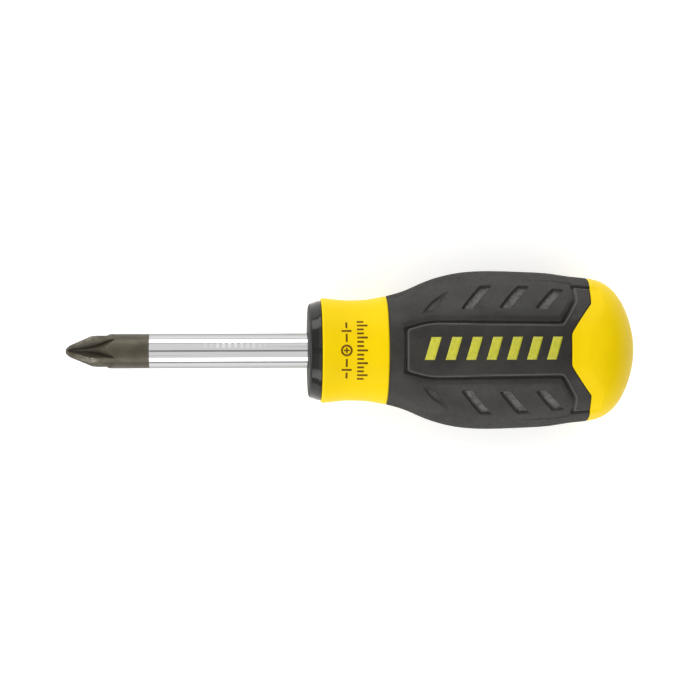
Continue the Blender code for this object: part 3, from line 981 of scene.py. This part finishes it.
def make_core_black():
    """Nose ring: glossy black plastic, uneven in its polish, with a matt front face."""
    material, tree, shader = new_material("core_black_plastic")
    patches = place_group(tree, mottle, Scale=260.0)
    grain = place_group(tree, fine_grain, Scale=1400.0)
    tree.links.new(mix_colours(tree, patches["Patches"], (0.008, 0.0078, 0.007), (0.014, 0.0135, 0.012)),
                   shader.inputs["Base Color"])
    polish = range_node(tree, patches["Patches"], 0.0, 1.0, 0.09, 0.16)
    parts = tree.nodes.new("ShaderNodeSeparateXYZ")
    tree.links.new(tree.nodes.new("ShaderNodeTexCoord").outputs["Object"], parts.inputs[0])
    face = range_node(tree, parts.outputs[0], (RING_FRONT + 0.05) * MM, (RING_FRONT + 0.5) * MM, 0.5, 0.0)
    tree.links.new(math_node(tree, "ADD", polish, face), shader.inputs["Roughness"])
    tree.links.new(bump_from(tree, grain["Height"], 0.006, 0.3), shader.inputs["Normal"])
    shader.inputs["Specular IOR Level"].default_value = 0.34
    return material


def make_rubber():
    """Soft grip: rubber, lighter and rougher on the pockets' floors, rougher where it turns away, and lighter
    along the panel's bead as a painted highlight.
    """
    material, tree, shader = new_material("grip_rubber")
    patches = place_group(tree, mottle, Scale=110.0, Specks=2200.0)
    grain = place_group(tree, fine_grain, Scale=4200.0)
    coarse = place_group(tree, fine_grain, Scale=1900.0)
    pocket = attribute_value(tree, "pocket")
    handled = place_group(tree, mottle, Scale=380.0)["Patches"]
    skin_tone = mix_colours(tree, patches["Patches"], (0.0075, 0.0066, 0.005), (0.0135, 0.0122, 0.0098))
    scuffed = math_node(tree, "MULTIPLY", handled, patches["Patches"])
    skin_tone = mix_colours(tree, scuffed, skin_tone, (0.0235, 0.0215, 0.018))
    floor_tone = mix_colours(tree, coarse["Tone"], (0.055, 0.053, 0.049), (0.135, 0.129, 0.121))
    # Painted highlight: the rubber is made much lighter along the panel's bead.
    bead = attribute_value(tree, "bead")
    bead_highlight = mix_colours(tree, bead, skin_tone, (0.062, 0.06, 0.056))
    tone = mix_colours(tree, pocket, bead_highlight, floor_tone)
    tone = mix_colours(tree, patches["Specks"], tone, (0.02, 0.019, 0.0175))
    tree.links.new(tone, shader.inputs["Base Color"])
    rough = math_node(tree, "ADD", range_node(tree, grain["Tone"], 0.0, 1.0, 0.38, 0.5),
                      math_node(tree, "MULTIPLY", handled, 0.13))
    rough = math_node(tree, "ADD", rough, math_node(tree, "MULTIPLY", pocket, 0.2))
    away = tree.nodes.new("ShaderNodeLayerWeight").outputs["Facing"]
    rough = math_node(tree, "ADD", rough, range_node(tree, away, 0.35, 0.9, 0.0, 0.3))
    tree.links.new(math_node(tree, "SUBTRACT", rough, math_node(tree, "MULTIPLY", bead, 0.12)),
                   shader.inputs["Roughness"])
    fine = bump_from(tree, grain["Height"], 0.012, 0.5)
    pits = math_node(tree, "MULTIPLY", coarse["Height"], pocket)
    tree.links.new(bump_from(tree, pits, 0.12, 0.9, fine), shader.inputs["Normal"])
    shader.inputs["Specular IOR Level"].default_value = 0.33
    return material


yellow_plastic = make_yellow()
core_black = make_core_black()
grip_rubber = make_rubber()
print("moulded finishes:", yellow_plastic.name, core_black.name, grip_rubber.name)

# %% Finish: inks


def make_ink(name, thin, thick, gloss):
    """Pad-printed ink: a matt film that covers a little unevenly."""
    material, tree, shader = new_material(name)
    shader.inputs["Specular IOR Level"].default_value = gloss
    patches = place_group(tree, mottle, Scale=1500.0)
    grain = place_group(tree, fine_grain, Scale=5000.0)
    tree.links.new(mix_colours(tree, patches["Patches"], thin, thick), shader.inputs["Base Color"])
    tree.links.new(range_node(tree, grain["Tone"], 0.0, 1.0, 0.42, 0.58), shader.inputs["Roughness"])
    return material


lime_ink = make_ink("lime_ink", (0.4, 0.39, 0.02), (0.49, 0.475, 0.03), 0.45)
brown_ink = make_ink("brown_ink", (0.165, 0.078, 0.004), (0.105, 0.046, 0.003), 0.1)

# %% [markdown]
# ## Putting the pieces on the frame
#
# Every piece takes its finish, rides on the one rigid body and replaces the CAD solid it stands for. The
# table also lists the record's material slot for each finish.

# %% Finish, ride and replace
for piece, material, node, slot in (
        (blade_point, blackened_steel, "blade", "point_steel"),
        (blade_shank, chrome_plate, "blade", "blade_steel"),
        (nose_core, core_black, "handle_core", "core_plastic"),
        (yellow_shell, yellow_plastic, "handle_shell", "shell_plastic"),
        (soft_sleeve, grip_rubber, "soft_grip", "grip_rubber"),
        (panel_print, lime_ink, None, "print_lime"),
        (collar_print, brown_ink, None, "print_brown")):
    piece.data.materials.append(material)
    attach(piece, "root")
    if node:
        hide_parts(node)

# %% [markdown]
# ## Floor, light and camera
#
# The tool lies on a pale floor between two long softboxes, as on a copy stand, with a square softbox
# beyond the point and a broad faint one overhead. A grey strip over the tool and a dark card beyond the
# butt are there to be mirrored, and the camera doesn't see them: with nothing darker than the lights to
# mirror, chrome looks like grey paint.

# %% Floor, grey strip and dark card


def flat_card(name, centre, across, along, colour, glow=0.0):
    """A matt rectangle about a centre, spanned by two half-edges.

    It can glow a little, as a light table does.
    """
    centre, across, along = (np.array(item, float) for item in (centre, across, along))
    corners = np.array([centre - across - along, centre + across - along,
                        centre + across + along, centre - across + along])
    card = mesh_from(name, corners, [np.array([[0, 1, 2, 3]])])
    material, tree, shader = new_material(name + "_matt")
    shader.inputs["Roughness"].default_value = 0.9
    shader.inputs["Base Color"].default_value = (*colour, 1.0)
    shader.inputs["Specular IOR Level"].default_value = 0.1
    shader.inputs["Emission Color"].default_value = (1.0, 1.0, 1.0, 1.0)
    shader.inputs["Emission Strength"].default_value = glow
    card.data.materials.append(material)
    print(f"{name} at height {centre[2] * 1000.0:.1f} mm")
    return card


FLOOR_Z = min(corner[2] for corner in soft_sleeve.bound_box)
flat_card("floor", (0.0, 0.0, FLOOR_Z), (1.5, 0.0, 0.0), (0.0, 1.5, 0.0), (0.9, 0.9, 0.9), 0.28)
strip = flat_card("overhead_strip", (0.05, 0.0, 0.62), (0.5, 0.0, 0.0), (0.0, -0.07, 0.0), (0.3, 0.3, 0.3))
end_card = flat_card("butt_card", (0.42, 0.0, 0.12), (0.0, 0.5, 0.0), (0.0, 0.0, 0.13), (0.05, 0.05, 0.05))
for card in (strip, end_card):
    card.visible_camera = False

# %% Softboxes and room light


def softbox(name, angle, distance, width, length, radiance):
    """A long area light beside the tool, at an angle from straight up toward +Y."""
    light = bpy.data.lights.new(name, "AREA")
    light.shape = "RECTANGLE"
    light.size, light.size_y = length, width
    light.energy = radiance * math.pi * length * width
    lamp = bpy.data.objects.new(name, light)
    turn = math.radians(angle)
    middle = Vector((0.04, 0.0, 0.0))
    lamp.location = middle + Vector((0.0, math.sin(turn), math.cos(turn))) * distance
    lamp.rotation_euler = (-turn, 0.0, 0.0)
    bpy.context.scene.collection.objects.link(lamp)
    return lamp


def end_softbox(name, angle, distance, side, radiance):
    """A square area light beyond the point's end, at an angle from straight up toward -X."""
    lamp = softbox(name, 0.0, distance, side, side, radiance)
    turn = math.radians(angle)
    lamp.location = Vector((0.07 - math.sin(turn) * distance, 0.0, math.cos(turn) * distance))
    lamp.rotation_euler = (0.0, -turn, 0.0)
    return lamp


softbox("softbox_far", angle=70.0, distance=0.7, width=0.32, length=0.9, radiance=3.1)
softbox("softbox_near", angle=-61.0, distance=0.7, width=0.32, length=0.9, radiance=2.95)
end_softbox("softbox_end", angle=80.0, distance=0.75, side=0.45, radiance=3.4)
softbox("softbox_top", angle=0.0, distance=0.9, width=2.3, length=1.2, radiance=0.54)
world = bpy.data.worlds.new("room")
world.use_nodes = True
world.node_tree.nodes["Background"].inputs["Color"].default_value = (1.0, 0.995, 0.985, 1.0)
world.node_tree.nodes["Background"].inputs["Strength"].default_value = 0.62
bpy.context.scene.world = world
bpy.context.scene.view_settings.view_transform = "Standard"

# %% Camera
CAMERA_HEIGHT = 0.3696
CAMERA_STATION = 0.031
AIM_STATION = 0.05216
AIM_ACROSS = 0.00008
CAMERA_ROLL = math.radians(0.2)
LENS = 103.1
camera_data = bpy.data.cameras.new("camera")
camera_data.sensor_width = 36.0
camera_data.lens = LENS
camera_data.clip_start = 0.01
camera = bpy.data.objects.new("camera", camera_data)
camera.location = (CAMERA_STATION, 0.0, CAMERA_HEIGHT)
back = (camera.location - Vector((AIM_STATION, AIM_ACROSS, 0.0))).normalized()
up = Vector((math.sin(CAMERA_ROLL), math.cos(CAMERA_ROLL), 0.0))
right = up.cross(back).normalized()
turned = Matrix((right, back.cross(right), back)).transposed()
camera.rotation_euler = turned.to_euler()
bpy.context.scene.collection.objects.link(camera)
bpy.context.scene.camera = camera
bpy.context.view_layer.update()
